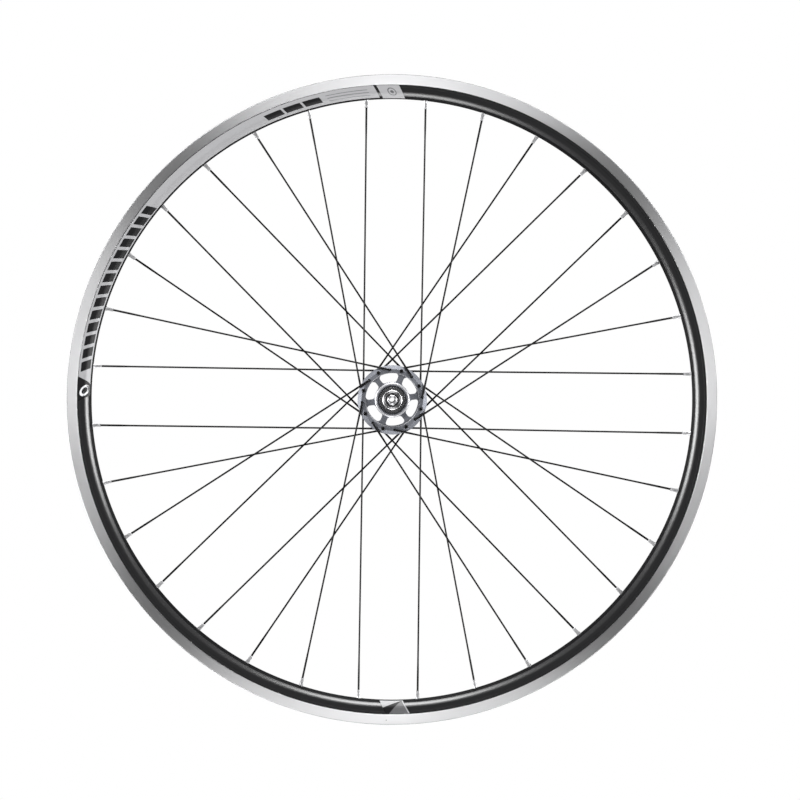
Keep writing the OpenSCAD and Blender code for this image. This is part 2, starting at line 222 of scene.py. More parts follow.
def lathe(outline, steps, marks=None):
    """Turns a closed (radius, side) outline right round. Returns points, faces and marks."""
    outline = np.array(outline, float)
    r, w = outline.T
    turning = round_angles(steps)
    points = np.stack([np.outer(np.cos(turning), r), np.outer(np.sin(turning), r),
                       np.broadcast_to(w, (steps, len(r)))], -1).reshape(-1, 3)
    n = len(r)
    area = np.sum(r * np.roll(w, -1) - np.roll(r, -1) * w)
    faces, face_marks = [], []
    for i in range(steps):
        a, b = i * n, (i + 1) % steps * n
        for j in range(n):
            k = (j + 1) % n
            quad = (a + j, b + j, b + k, a + k)
            faces.append(quad if area > 0 else quad[::-1])
            face_marks.append(marks[j] if marks else 0)
    return points, faces, face_marks


def joined(parts):
    """Several (points, faces, marks) as one."""
    points, faces, marks, base = [], [], [], 0
    for p, f, m in parts:
        points.append(p)
        faces += [tuple(i + base for i in face) for face in f]
        marks += m
        base += len(p)
    return np.concatenate(points), faces, marks


def smoothed(mesh, crease):
    """Smooth shading, apart from edges sharper than crease degrees."""
    mesh.shade_smooth()
    mesh.set_sharp_from_angle(angle=math.radians(crease))


def new_object(name, shape, materials, crease=35):
    """An object from (points, faces, marks); a face's mark picks one of the materials."""
    points, faces, marks = shape
    mesh = bpy.data.meshes.new(name)
    mesh.from_pydata((np.asarray(points) * MM).tolist(), [], faces)
    for material in materials:
        mesh.materials.append(material)
    mesh.polygons.foreach_set("material_index", np.array(marks, np.int32))
    smoothed(mesh, crease)
    mesh.update()
    obj = bpy.data.objects.new(name, mesh)
    bpy.context.scene.collection.objects.link(obj)
    return obj


def drilled(obj, cutter_shape, crease=35):
    """Cuts a shape out of obj and leaves obj a plain mesh."""
    cutter = new_object(obj.name + "_cutter", cutter_shape, obj.data.materials[:])
    cut = obj.modifiers.new("drill", "BOOLEAN")
    cut.operation = "DIFFERENCE"
    cut.object = cutter
    cut.solver = "MANIFOLD"
    depsgraph = bpy.context.evaluated_depsgraph_get()
    mesh = bpy.data.meshes.new_from_object(obj.evaluated_get(depsgraph))
    obj.modifiers.clear()
    obj.data = mesh
    bpy.data.objects.remove(cutter)
    smoothed(mesh, crease)


def loft(rings, closed=False):
    """A skin over rings of points, each of the same number. Open ends get a flat cap."""
    count, n = len(rings), len(rings[0])
    faces = []
    for i in range(count if closed else count - 1):
        a, b = i * n, (i + 1) % count * n
        faces += [(a + j, a + (j + 1) % n, b + (j + 1) % n, b + j) for j in range(n)]
    if not closed:
        faces.append(tuple(reversed(range(n))))
        faces.append(tuple((count - 1) * n + j for j in range(n)))
    return np.concatenate(rings), faces, [0] * len(faces)


def flipped(shape):
    """A shape turned inside out."""
    points, faces, marks = shape
    return points, [face[::-1] for face in faces], marks


def half_turned(shape):
    """A shape in the row frame, turned half round the vertical axis."""
    points, faces, marks = shape
    return points * [-1, -1, 1], faces, marks


def piece(obj, body, slot, *replaced):
    """Hands obj to the frame: its body and the CAD nodes it stands for. slot is not used."""
    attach(obj, body)
    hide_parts(*replaced)


# ---------- lacing ----------

spoke_run = math.sqrt(hole_r ** 2 + seat_r ** 2
                      - 2 * hole_r * seat_r * math.cos(math.radians(lean)))
near = hole_r * math.sin(math.radians(lean - pitch))
cross_at = near / (near + seat_r * math.sin(math.radians(pitch)))

# Heights in a spoke's own plane, keyed by whether it runs outside its flange: where the elbow
# starts, where spokes pass each other at the last crossing, and where the head sits.
lace_step = spoke_mid_r + 0.06
cross_z = flange_z * (1 - cross_at)
bend_z = {True: flange_out + spoke_r + clear - elbow_r,
          False: -(flange_in - spoke_r - clear + elbow_r)}
lace_z = {True: cross_z - lace_step, False: -(cross_z + lace_step)}
head_z = {True: flange_in - 0.02, False: -flange_out - 0.02}


def rim_angle(k):
    return (k + 0.5) * pitch


def trails(k):
    """Spokes 2 and 3 of every four trail, outside their flange."""
    return k % 4 > 1


def rim_turn(k):
    """Direction of spoke k's outer run in its own plane, turned from +Z towards +X."""
    return 90 + math.degrees(math.atan2(lace_z[trails(k)], (1 - cross_at) * spoke_run))


def turned_y(points, deg):
    """Points turned about the Y axis."""
    c, s = math.cos(math.radians(deg)), math.sin(math.radians(deg))
    x, y, z = np.asarray(points, float).T
    return np.stack([x * c + z * s, y, z * c - x * s], -1)


def at_spoke(shape, k):
    """Moves a shape from a spoke's own plane to spoke k's place."""
    points, faces, marks = shape
    hub = polar(hole_r, rim_angle(k) + (-lean if trails(k) else lean))
    run = polar(seat_r, rim_angle(k)) - hub
    c, s = run / np.linalg.norm(run)
    x, y, z = np.asarray(points, float).T
    hand = (1 if trails(k) else -1) * (1 if k % 2 == 0 else -1)
    moved = np.stack([hub[0] + x * c - y * s, hub[1] + x * s + y * c, z * hand], -1)
    placed = (moved, faces, marks)
    return placed if hand > 0 else flipped(placed)


def at_rim_end(shape, k):
    """Moves a shape to spoke k's seat in the rim, its +Z pointing out along the spoke."""
    points, faces, marks = shape
    points = turned_y(points, rim_turn(k)) + np.array([spoke_run, 0, 0])
    return at_spoke((points, faces, marks), k)


def in_world(shape):
    """A shape from the flat wheel's frame in the row frame."""
    points, faces, marks = shape
    return to_world(points), faces, marks


class Walk:
    """Rings along a path in the XZ plane that starts along +Z and turns towards +X."""

    def __init__(self, z, sides):
        self.place = np.array([0.0, z])
        self.turn = 0.0
        self.rings = []
        self.round = round_angles(sides)

    def ring(self, r):
        t = math.radians(self.turn)
        across = np.array([math.cos(t), 0, -math.sin(t)])
        centre = np.array([self.place[0], 0, self.place[1]])
        self.rings.append(centre + r * (np.outer(np.cos(self.round), across)
                                        + np.outer(np.sin(self.round), [0, 1, 0])))

    def ahead(self, length):
        t = math.radians(self.turn)
        self.place = self.place + length * np.array([math.sin(t), math.cos(t)])

    def bend(self, degrees, radius, r, steps):
        for _ in range(steps):
            step = degrees / steps
            chord = 2 * radius * math.sin(math.radians(abs(step) / 2))
            self.turn += step / 2
            self.ahead(chord)
            self.turn += step / 2
            self.ring(r)


def spoke(k):
    """A butted spoke: head, elbow, thin middle bent where it passes the last crossing, thread."""
    head = ((0, 0.7), (0.03, 0.95), (0.12, 1.25), (0.25, 1.5), (0.42, 1.7), (0.62, 1.82),
            (0.8, 1.85), (0.9, 1.8), (1.0, 1.62), (1.03, 1.06), (1.1, 1.0))
    thick = 12
    taper_in = 12
    taper_out = 10
    thread = 28
    outside = trails(k)
    x = cross_at * spoke_run - elbow_r
    z = bend_z[outside] - lace_z[outside]
    reach = math.hypot(x, z)
    turn1 = 90 + math.degrees(math.atan2(z, x) + math.asin(elbow_r / reach))
    turn2 = rim_turn(k)
    trim = lace_r * math.tan(math.radians((turn1 - turn2) / 2))
    run1 = math.sqrt(reach ** 2 - elbow_r ** 2) - trim
    run2 = math.hypot((1 - cross_at) * spoke_run, lace_z[outside]) - trim
    w = Walk(head_z[outside] - 1, 20)
    done = 0
    for up, r in head:
        w.ahead(up - done)
        done = up
        w.ring(r)
    w.ahead(bend_z[outside] - head_z[outside] - clear)
    w.ring(spoke_r)
    w.bend(turn1, elbow_r, spoke_r, 14)
    half1 = (run1 - thick - taper_in) / 2
    half2 = (run2 - taper_out - thread) / 2
    for length, r in ((thick, spoke_r), (taper_in, spoke_mid_r), (half1, spoke_mid_r),
                      (half1, spoke_mid_r)):
        w.ahead(length)
        w.ring(r)
    w.bend(turn2 - turn1, lace_r, spoke_mid_r, 4)
    for length, r in ((half2, spoke_mid_r), (half2, spoke_mid_r), (taper_out, spoke_r),
                      (thread, spoke_r), (0.8, spoke_r), (0.2, spoke_r - 0.2)):
        w.ahead(length)
        w.ring(r)
    return at_spoke(flipped(loft(w.rings)), k)


def nipple_blank():
    """A nipple before its slot is cut: square shank, round neck and flared head along +Z."""
    flat = 1.625
    body_r = 1.98
    corner = math.degrees(math.acos(flat / body_r))
    quarter = [0, 12, 24, corner, 40, 45, 50, 90 - corner, 66, 78]
    angles = np.radians([q + 90 * i for i in range(4) for q in quarter])
    square = flat / np.maximum(np.abs(np.cos(angles)), np.abs(np.sin(angles)))

    def ring(z, r, squared=False):
        radius = np.minimum(square, r) if squared else np.full(len(angles), float(r))
        return np.stack([radius * np.cos(angles), radius * np.sin(angles),
                         np.full(len(angles), float(z))], -1)

    tip = -9.2
    outside = [ring(tip, 1.42, True), ring(tip + 0.1, 1.55, True), ring(tip + 0.45, 1.9, True),
               ring(tip + 0.6, body_r, True), ring(-3.5, body_r, True), ring(-3.4, body_r),
               ring(-0.1, body_r), ring(0.05, 2.03), ring(0.75, 2.93), ring(0.85, 3),
               ring(1.45, 3), ring(1.6, 2.95), ring(2.25, 2.45), ring(2.45, 2.2), ring(2.6, 1.4)]
    bore = [ring(2.6, 1.15), ring(2.5, 1.05), ring(tip + 0.1, 1.05), ring(tip, 1.15)]
    return loft(outside + bore, closed=True)


def box_shape(low, high):
    x, y, z = zip(low, high)
    points = [(a, b, c) for a in x for b in y for c in z]
    faces = [(0, 1, 3, 2), (4, 6, 7, 5), (0, 4, 5, 1), (2, 3, 7, 6), (0, 2, 6, 4), (1, 5, 7, 3)]
    return np.array(points, float), faces, [0] * 6


def plug(profile, sides=32):
    """A turned solid about Z from its (z, radius) steps."""
    around = round_angles(sides)
    rings = [np.stack([r * np.cos(around), r * np.sin(around), np.full(sides, float(z))], -1)
             for z, r in profile]
    return loft(rings)


def pointing_out(shape, deg, start_r):
    """Turns a shape's +Z to point away from the axle at an angle, its origin at start_r."""
    points, faces, marks = shape
    x, y, z = np.asarray(points, float).T
    c, s = math.cos(math.radians(deg)), math.sin(math.radians(deg))
    out = start_r + z
    return np.stack([out * c - x * s, out * s + x * c, -y], -1), faces, marks


# ---------- finishes ----------

grain_depth = 0.2 * MM
highlight_metal = (0.33, 0.33, 0.34)


def finish(name, colour, metallic, roughness, spread=0.08, grain=900.0, bump=0.05, second=None,
           patches=25.0, anisotropic=0.0, brushed=None, specular=0.5, highlight_rings=None):
    """A Principled material whose colour and gloss drift a little and whose surface has grain.

    spread is how far the roughness drifts. grain and patches are noise scales, for the relief
    and for the drift towards the second colour. brushed is the scale of rings round the axle
    that replace the grain. highlight_rings are (inner radius, outer radius, side) where a lighter
    bare-metal colour is painted in: partly the machined metal's own colour, partly painted
    highlight.
    """
    material = bpy.data.materials.new(name)
    material.use_nodes = True
    nodes, links = material.node_tree.nodes, material.node_tree.links
    shader = nodes["Principled BSDF"]
    shader.inputs["Metallic"].default_value = metallic
    shader.inputs["Specular IOR Level"].default_value = specular
    place = nodes.new("ShaderNodeTexCoord").outputs["Object"]

    cloud = nodes.new("ShaderNodeTexNoise")
    cloud.inputs["Scale"].default_value = patches
    cloud.inputs["Detail"].default_value = 6
    links.new(place, cloud.inputs["Vector"])

    tint = nodes.new("ShaderNodeMix")
    tint.data_type = "RGBA"
    tint.inputs["A"].default_value = (*colour, 1)
    tint.inputs["B"].default_value = (*(second or [c * 0.8 for c in colour]), 1)
    links.new(cloud.outputs["Fac"], tint.inputs["Factor"])
    colour_out = tint.outputs["Result"]
    if highlight_rings:
        colour_out = paint_highlight_rings(nodes, links, place, colour_out, highlight_rings)
    links.new(colour_out, shader.inputs["Base Color"])

    fine = nodes.new("ShaderNodeTexNoise")
    fine.inputs["Scale"].default_value = grain
    fine.inputs["Detail"].default_value = 3
    links.new(place, fine.inputs["Vector"])
    height = fine.outputs["Fac"]

    if brushed:
        ring = nodes.new("ShaderNodeTexNoise")
        ring.noise_dimensions = "1D"
        ring.inputs["Scale"].default_value = brushed
        ring.inputs["Detail"].default_value = 4
        flat = nodes.new("ShaderNodeVectorMath")
        flat.operation = "MULTIPLY"
        flat.inputs[1].default_value = (1, 0, 1)
        links.new(place, flat.inputs[0])
        reach = nodes.new("ShaderNodeVectorMath")
        reach.operation = "LENGTH"
        links.new(flat.outputs["Vector"], reach.inputs[0])
        links.new(reach.outputs["Value"], ring.inputs["W"])
        height = ring.outputs["Fac"]
        tangent = nodes.new("ShaderNodeTangent")
        tangent.direction_type = "RADIAL"
        tangent.axis = "Y"
        links.new(tangent.outputs["Tangent"], shader.inputs["Tangent"])
        shader.inputs["Anisotropic"].default_value = anisotropic

    gloss = nodes.new("ShaderNodeMapRange")
    gloss.inputs["To Min"].default_value = roughness - spread
    gloss.inputs["To Max"].default_value = roughness + spread
    links.new(height, gloss.inputs["Value"])
    links.new(gloss.outputs["Result"], shader.inputs["Roughness"])

    relief = nodes.new("ShaderNodeBump")
    relief.inputs["Strength"].default_value = bump
    relief.inputs["Distance"].default_value = grain_depth
    links.new(height, relief.inputs["Height"])
    links.new(relief.outputs["Normal"], shader.inputs["Normal"])
    return material


def paint_highlight_rings(nodes, links, place, colour, zones):
    """Paints highlights: mixes a lighter bare-metal colour into a colour inside rings round the
    axle.
    """

    def maths(operation, a, b=0.0):
        node = nodes.new("ShaderNodeMath")
        node.operation = operation
        for socket, value in zip(node.inputs, (a, b)):
            if isinstance(value, (int, float)):
                socket.default_value = value
            else:
                links.new(value, socket)
        return node.outputs["Value"]

    split = nodes.new("ShaderNodeSeparateXYZ")
    links.new(place, split.inputs["Vector"])
    x, y, z = (split.outputs[axis] for axis in "XYZ")
    reach = maths("SQRT", maths("ADD", maths("MULTIPLY", x, x), maths("MULTIPLY", z, z)))
    side = maths("ABSOLUTE", y)
    highlighted = 0.0
    for inner, outer, from_side in zones:
        ring = maths("MULTIPLY", maths("GREATER_THAN", reach, inner * MM),
                     maths("LESS_THAN", reach, outer * MM))
        ring = maths("MULTIPLY", ring, maths("GREATER_THAN", side, from_side * MM))
        highlighted = maths("MAXIMUM", highlighted, ring)
    mix = nodes.new("ShaderNodeMix")
    mix.data_type = "RGBA"
    mix.inputs["B"].default_value = (*highlight_metal, 1)
    links.new(highlighted, mix.inputs["Factor"])
    links.new(colour, mix.inputs["A"])
    return mix.outputs["Result"]


black_anodised = finish("rim_black_anodised", (0.005, 0.005, 0.0053), 0.0, 0.3, 0.04, 700, 0.02,
                        (0.0065, 0.0065, 0.0068), specular=0.45)
# Painted shade along the nose: the same anodising made darker and almost without reflection.
nose_painted_shade = finish("rim_nose_painted_shade", (0.003, 0.003, 0.0032), 0.0, 0.5, 0.04, 700, 0.02,
                    specular=0.02)
machined = finish("rim_machined_track", (0.86, 0.86, 0.87), 1.0, 0.34, 0.03, 900, 0.006,
                  (0.80, 0.80, 0.81), 14, 0.85, 2600)
lip_satin = finish("rim_lip_satin", (0.13, 0.13, 0.134), 0.0, 0.5, 0.05, 900, 0.02, specular=0.1)
raw_cut = finish("rim_cut_edges", (0.45, 0.45, 0.47), 1.0, 0.4)
# The rings are painted highlights on the shell's end beside the bearing and on the flange's inner
# edge.
hub_alloy = finish("hub_grey_anodised", (0.13, 0.135, 0.15), 0.75, 0.48, 0.05, 500, 0.03,
                   (0.11, 0.115, 0.13), 60,
                   highlight_rings=[(14.9, 16.6, flange_in + 0.2), (25.7, 26.4, flange_out - 1.2)])
axle_alloy = finish("axle_satin_alloy", (0.62, 0.63, 0.65), 1.0, 0.32, brushed=3000)
cap_alloy = finish("cap_turned_alloy", (0.62, 0.62, 0.63), 1.0, 0.34, 0.04, 900, 0.02,
                   (0.55, 0.55, 0.56), 80, 0.8, 5200)
# Painted shade for the cap's groove and for the chamfer round its bore.
cap_groove_shade = finish("cap_groove_painted_shade", (0.13, 0.13, 0.134), 0.5, 0.45, 0.05, 900, 0.02)
cap_end = finish("cap_faced_end", (0.24, 0.24, 0.25), 0.8, 0.45, 0.05, 900, 0.03)
spoke_black = finish("spoke_black_coat", (0.002, 0.002, 0.0021), 0.0, 0.34, 0.05, 1500, 0.02,
                     specular=0.07)
nickel = finish("nipple_nickel", (0.27, 0.27, 0.275), 0.35, 0.34, 0.06, 800, 0.03,
                (0.2, 0.2, 0.205), 120, specular=0.3)
ground_steel = finish("bearing_ground_steel", (0.42, 0.43, 0.45), 1.0, 0.22, 0.05, 900, 0.04,
                      (0.36, 0.37, 0.39), 90, 0.4, 6000)
ball_steel = finish("ball_polished_steel", (0.78, 0.79, 0.8), 1.0, 0.06, 0.03, 900, 0.01)
nylon = finish("cage_moulded_nylon", (0.72, 0.66, 0.46), 0.0, 0.45, 0.08, 1200, 0.08)
rubber = finish("seal_black_rubber", (0.014, 0.014, 0.015), 0.0, 0.5, 0.08, 2400, 0.12)
tape_film = finish("tape_yellow_film", (0.3, 0.21, 0.055), 0.0, 0.42, 0.08, 400, 0.08,
                   (0.25, 0.17, 0.045), 40)
film_silver = finish("decal_silver_film", (0.17, 0.17, 0.174), 0.05, 0.46, 0.04, 1100, 0.01,
                     (0.15, 0.15, 0.154), 30, specular=0.2)
ink_black = finish("decal_black_ink", (0.004, 0.004, 0.0043), 0.0, 0.46, 0.05, 1300, 0.02,
                   specular=0.12)
ink_grey = finish("decal_grey_ink", (0.055, 0.055, 0.057), 0.0, 0.42, 0.05, 1300, 0.02,
                  specular=0.2)
ink_pale = finish("decal_pale_ink", (0.36, 0.36, 0.37), 0.0, 0.4, 0.05, 1300, 0.02)


# ---------- rim ----------

def rim_zone(r, w):
    """The rim's material slot at a place on its skin."""
    if r > track_r and abs(w) > half_w - face_margin:
        return LIP if r > rim_r - edge_break - 0.02 else TRACK
    # The band next to the nose gets painted shade.
    return NOSE_SHADE if r < nose_r + nose_shade_band else ANODISED


def edge_zones(outline):
    """The material slot of each edge of an outline, taken at its middle."""
    after = outline[1:] + outline[:1]
    return [rim_zone((a[0] + b[0]) / 2, (a[1] + b[1]) / 2) for a, b in zip(outline, after)]


def rim_drills():
    """Everything cut out of the rim: nipple, access and valve holes, and a wear pit each side."""
    nipple_hole = plug([(-6, 2.3), (-0.6, 2.3), (0, 3.3), (4, 3.3)])
    access_hole = plug([(0, 4), (bead_r - crown_c, 4)])
    valve_hole = plug([(0, valve_r), (rim_depth, valve_r)])
    cuts = []
    for k in range(spoke_count):
        cuts.append(at_rim_end(nipple_hole, k))
        cuts.append(pointing_out(access_hole, rim_angle(k), crown_c + 0.8))
    cuts.append(pointing_out(valve_hole, 90, nose_r - 2))
    points, faces, marks = plug([(-0.9, 0.05), (-0.35, 0.55), (0.3, 0.55)], 20)
    for side in (-1, 1):
        spot = points * [1, 1, side] + [side * -1.5, -(rim_r - pit_inset), side * half_w]
        pit = (spot, faces, marks)
        cuts.append(pit if side > 0 else flipped(pit))
    points, faces, marks = in_world(joined(cuts))
    return points, faces, [CUT] * len(marks)


def lathe_world(outline, steps, marks=None):
    return in_world(lathe(outline, steps, marks))


def build_rim():
    """The rim, hollow inside, with materials in the order of its slots."""
    outline = rim_outline()
    hollow = flipped(lathe_world(rim_hollow(), 480))
    shape = joined([lathe_world(outline, 720, edge_zones(outline)), hollow])
    crease = 28
    rim = new_object("rim_body", shape,
                     [black_anodised, machined, nose_painted_shade, raw_cut, lip_satin], crease)
    drilled(rim, rim_drills(), crease)
    piece(rim, "wheel", "rim_alloy", "rim")


def build_tape():
    """The rim tape: a thin band that follows the well and the bead shelves."""
    lift = 0.03
    thick = 0.25
    edge = bead_w - 0.8
    low, high = well_r + lift, bead_r + lift
    half = [(low, well_w - 0.1), (high, shelf_w), (high, edge), (high + thick, edge - 0.1),
            (high + thick, shelf_w - 0.15), (low + thick, well_w - 0.15)]
    under, over = half[:3], half[3:]
    outline = ([(r, -w) for r, w in reversed(under)] + half
               + [(r, -w) for r, w in reversed(over)])
    tape = new_object("rim_tape_band", lathe_world(outline, 480), [tape_film])
    hole = pointing_out(plug([(0, valve_r + 0.3), (8, valve_r + 0.3)]), 90, well_r - 2)
    drilled(tape, in_world(hole))
    piece(tape, "wheel", "tape_film", "rim_tape")


# ---------- spokes and nipples ----------

def build_spokes():
    groups = {"spokes_right_inner": 0, "spokes_left_inner": 1,
              "spokes_right_outer": 2, "spokes_left_outer": 3}
    for node, first in groups.items():
        shape = joined([spoke(k) for k in range(first, spoke_count, 4)])
        obj = new_object(node + "_wires", in_world(shape), [spoke_black], 40)
        piece(obj, "wheel", "spoke_steel", node)


def build_nipples():
    blank = new_object("nipple_blank", nipple_blank(), [nickel])
    drilled(blank, box_shape((-3.5, -0.5, 1.7), (3.5, 0.5, 3)))
    mesh = blank.data
    points = np.array([v.co for v in mesh.vertices]) / MM
    faces = [tuple(p.vertices) for p in mesh.polygons]
    bpy.data.objects.remove(blank)
    nipple = (points, faces, [0] * len(faces))
    for node, first in {"nipples_right": 0, "nipples_left": 1}.items():
        shape = joined([at_rim_end(nipple, k) for k in range(first, spoke_count, 2)])
        obj = new_object(node + "_set", in_world(shape), [nickel], 25)
        piece(obj, "wheel", "nipple_plated", node)


# ---------- decals ----------

def skin_line(tip):
    """The rim's side from angle tip on its nose to the brake track: points and outward normals."""
    end = meets_side(nose_r, crown_r, 0)
    bend = polar(1, np.linspace(tip, end, 20))
    points = [np.array([crown_c, 0]) + crown_r * n for n in bend]
    normals = list(bend)
    lean_in = np.array([-side_slope, 1]) / math.hypot(side_slope, 1)
    for r in np.linspace(points[-1][0] + 0.6, track_r - 0.4, 8):
        points.append(np.array([r, side_at(r)]))
        normals.append(lean_in)
    return np.array(points), np.array(normals)


class Film:
    """Film on the rim's side. Patches are given by angle and by t, from 0 inside to 1 outside."""

    def __init__(self, tip):
        self.points, self.normals = skin_line(tip)
        steps = np.linalg.norm(np.diff(self.points, axis=0), axis=1)
        self.width = steps.sum()
        self.along = np.concatenate([[0], np.cumsum(steps)]) / self.width
        self.parts = []

    def at(self, deg, t, lift):
        """The place at (angle, t), lift above the skin. A film's ends lean by film_slant."""
        p = np.array([np.interp(t, self.along, self.points[:, i]) for i in (0, 1)])
        n = np.array([np.interp(t, self.along, self.normals[:, i]) for i in (0, 1)])
        r, w = p + lift * n
        margin = 2
        lead = film_slant * ((r - nose_r + margin) / (rim_depth + 2 * margin) - 0.5)
        x, y = polar(r, deg + lead)
        return x, y, w

    def slab(self, grid, nu, nt, mark, low, high):
        """A thin slab whose (angle, t) points form nu by nt cells."""
        top = [self.at(*g, high) for g in grid]
        under = [self.at(*g, low) for g in grid]
        n, m = nt + 1, (nu + 1) * (nt + 1)
        faces = []
        for i in range(nu):
            for j in range(nt):
                cell = (i * n + j, (i + 1) * n + j, (i + 1) * n + j + 1, i * n + j + 1)
                faces.append(cell)
                faces.append(tuple(m + v for v in reversed(cell)))
        edge = ([j for j in range(nt)] + [i * n + nt for i in range(nu)]
                + [nu * n + j for j in range(nt, 0, -1)] + [i * n for i in range(nu, 0, -1)])
        faces += [(m + w, m + v, v, w) for v, w in zip(edge, edge[1:] + edge[:1])]
        self.parts.append((np.array(top + under), faces, [mark] * len(faces)))

    def patch(self, corners, mark, low, high):
        """A slab between corners given as inner start, outer start, outer end, inner end."""
        a, b, c, d = np.array(corners, float)
        span = max(abs(a[0] - d[0]), abs(b[0] - c[0]))
        rise = max(abs(a[1] - b[1]), abs(c[1] - d[1]))
        nu, nt = max(2, math.ceil(span / 0.4)), max(2, math.ceil(rise * 24))
        grid = [(1 - u) * ((1 - v) * a + v * b) + u * ((1 - v) * d + v * c)
                for u in np.linspace(0, 1, nu + 1) for v in np.linspace(0, 1, nt + 1)]
        self.slab(grid, nu, nt, mark, low, high)

    def base(self, a0, a1):
        """The film itself, over its whole width."""
        self.patch([(a0, 0), (a0, 1), (a1, 1), (a1, 0)], SILVER, film_low, film_high)

    def stamp(self, corners, mark):
        """Ink on the film, between corners."""
        self.patch(corners, mark, film_high, film_high + ink)

    def bar(self, a0, a1, t0, t1, mark):
        """Ink from angle a0 to a1 and from t0 to t1."""
        self.stamp([(a0, t0), (a0, t1), (a1, t1), (a1, t0)], mark)

    def disc(self, deg, t, r, mark, lift):
        """A round print of radius r millimetres about (angle, t), lift above the film."""
        turn = math.degrees(r / (nose_r + 6))
        around = round_angles(40)
        shares = (0.33, 0.66, 1.0)
        grid = [(deg, t)]
        for share in shares:
            grid += [(deg + share * turn * math.cos(a), t + share * r / self.width * math.sin(a))
                     for a in around]
        n, m = len(around), len(grid)
        faces = [(0, 1 + (j + 1) % n, 1 + j) for j in range(n)]
        for s in range(len(shares) - 1):
            a, b = 1 + s * n, 1 + (s + 1) * n
            for j in range(n):
                k = (j + 1) % n
                faces.append((a + j, a + k, b + k, b + j))
        under = [tuple(m + v for v in reversed(f)) for f in faces]
        edge = list(range(m - n, m))
        walls = [(w, v, m + v, m + w) for v, w in zip(edge, edge[1:] + edge[:1])]
        points = ([self.at(*g, film_high + lift) for g in grid]
                  + [self.at(*g, film_high) for g in grid])
        faces += under + walls
        self.parts.append((np.array(points), faces, [mark] * len(faces)))

    def build(self, node, turned):
        """The film as a piece that stands for a CAD node."""
        shape = in_world(joined(self.parts))
        obj = new_object(node + "_print", half_turned(shape) if turned else shape,
                         [film_silver, ink_black, ink_grey, ink_pale])
        piece(obj, "wheel", "decal_film", node)


def long_panel():
    """Silver panel: stripes, three short blocks, plain film, a run of blocks, and a black end.

    The black end carries a ring, and a black line runs along the panel's inner edge.
    """
    film = Film(152)
    start, end = 94.1, 181
    line = 0.035
    film.base(start, end)
    film.bar(start, 178.7, 0, line, BLACK)
    film.stamp([(178.9, 0), (176.4, 1), (end, 1), (end, 0)], BLACK)
    for r, mark, lift in ((5, PALE, 0.03), (3, BLACK, 0.04)):
        film.disc(179.6, 0.5, r, mark, lift)
    blocks, gap = 14, 0.66
    first, last = 142.2, 176.1
    step = (last - first) / blocks
    for i in range(blocks):
        a = first + i * step
        film.bar(a + gap / 2, a + step - gap / 2, 0.14, 0.86, BLACK)
    for i in range(3):
        a = 104.6 + 3.75 * i
        film.bar(a, a + 3.3, 0.3, 0.74, BLACK)
    for t in (0.3, 0.52, 0.71):
        film.bar(95.6, 103.4, t, t + line, GREY)
    return film


def valve_badge():
    """Silver patch with a ring and a dot."""
    film = Film(158)
    film.base(89.4, 93.55)
    for r, mark, lift in ((4.1, GREY, 0.03), (3.2, SILVER, 0.04), (1.6, GREY, 0.05)):
        film.disc(91.3, 0.56, r, mark, lift)
    return film


def joint_patch():
    """Patch over the rim's joint: a silver and a grey corner with a black band between them."""
    film = Film(158)
    start, end = -90.5, -86.1
    band = start + 0.5
    edge = end - 0.25
    film.base(start, end)
    film.stamp([(start, 0.6), (start, 1), (band, 1), (end, 0.02)], BLACK)
    film.stamp([(edge, 0.08), (band, 1), (edge, 1), (edge, 0.1)], GREY)
    return film


def build_decals():
    films = {"panel": long_panel, "badge": valve_badge, "joint": joint_patch}
    for side, turned in (("right", False), ("left", True)):
        for kind, film in films.items():
            film().build(f"decal_{kind}_{side}", turned)


# ---------- end caps ----------

def build_cap(side, turned):
    """A turned cap: bright face and stub, with painted shade in the groove between them and at the
    bore's edge, and a dull end.
    """
    steps = [((cap_seat_r, cap_seat_end), BRIGHT), ((cap_seat_r, cap_back), BRIGHT),
             ((cap_r - 0.8, cap_back), BRIGHT), ((cap_r - 0.8, cap_back + 1), BRIGHT),
             ((cap_r, cap_back + 1.6), BRIGHT), ((cap_r, cap_face - 0.5), BRIGHT),
             ((cap_r - 0.5, cap_face), BRIGHT), ((groove_r, cap_face), RECESS_SHADE),
             ((groove_r, cap_face - groove_depth), RECESS_SHADE), ((lip_r, cap_face - groove_depth), RECESS_SHADE),
             ((lip_r, cap_face), BRIGHT), ((stub_r, cap_face), BRIGHT),
             ((stub_r, stub_end - 0.4), BRIGHT), ((stub_r - 0.4, stub_end), DULL),
             ((skewer_r + 0.7, stub_end), RECESS_SHADE), ((skewer_r, stub_end - 0.7), RECESS_SHADE),
             ((skewer_r, cap_bore_end), BRIGHT), ((cap_bore_r, cap_bore_end), BRIGHT),
             ((cap_bore_r, cap_seat_end), BRIGHT)]
    outline, marks = [], []
    corners = [corner for corner, _ in steps]
    for i, (corner, mark) in enumerate(steps):
        trio = [corners[i - 1], corner, corners[(i + 1) % len(corners)]]
        corner_points = rounded_corner(*trio, 0.12)
        outline += corner_points
        marks += [mark] * len(corner_points)
    shape = lathe_world(outline, 96, marks)
    cap = new_object(f"end_cap_{side}_turned", half_turned(shape) if turned else shape,
                     [cap_alloy, cap_groove_shade, cap_end], 30)
    piece(cap, "axle", "cap_alloy", f"end_cap_{side}")


# ---------- hub, axle and bearings, kept from the CAD ----------

def dress(node, material):
    """Gives a CAD node its material."""
    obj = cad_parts[node]
    obj.data.materials.clear()
    obj.data.materials.append(material)


def dress_hub():
    dress("hub_shell", hub_alloy)
    dress("axle", axle_alloy)
    for side in ("right", "left"):
        for place in ("inner", "outer"):
            dress(f"bearing_{place}_race_{side}", ground_steel)
            dress(f"bearing_seal_{place}_{side}", rubber)
        dress(f"bearing_balls_{side}", ball_steel)
        dress(f"ball_cage_{side}", nylon)


# ---------- light, floor and camera, in metres ----------

